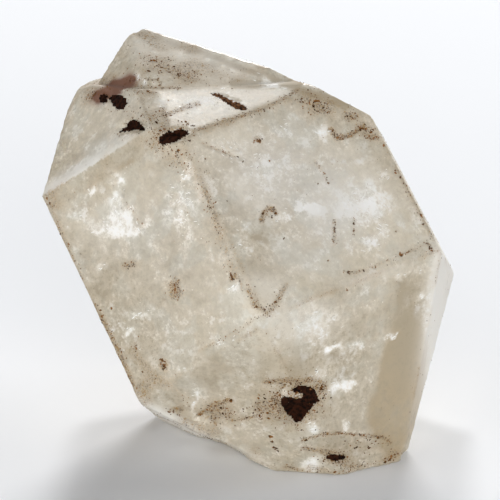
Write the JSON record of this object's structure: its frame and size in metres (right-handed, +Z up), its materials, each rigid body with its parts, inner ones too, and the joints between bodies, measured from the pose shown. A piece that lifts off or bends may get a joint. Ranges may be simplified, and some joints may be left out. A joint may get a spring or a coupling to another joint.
{
  "type": "herkimer diamond",
  "caption": "Clouded quartz crystal with a point at each end, a ledge below its upper crest, dark pits and a small flat spot that it stands on, leaning.",
  "frame": {"origin": "middle of the bounding box at the level of the flat spot that the crystal stands on", "axes": "+Z up, +Y away from the front that the picture shows, +X to the right"},
  "size_m": [0.0308, 0.0314, 0.0299],
  "materials": {
    "quartz": "smooth clouded quartz, see-through with white veils, brown stain along its edges and dark crust in its pits"
  },
  "bodies": {
    "root": {"crystal": "quartz"}
  },
  "joints": []
}
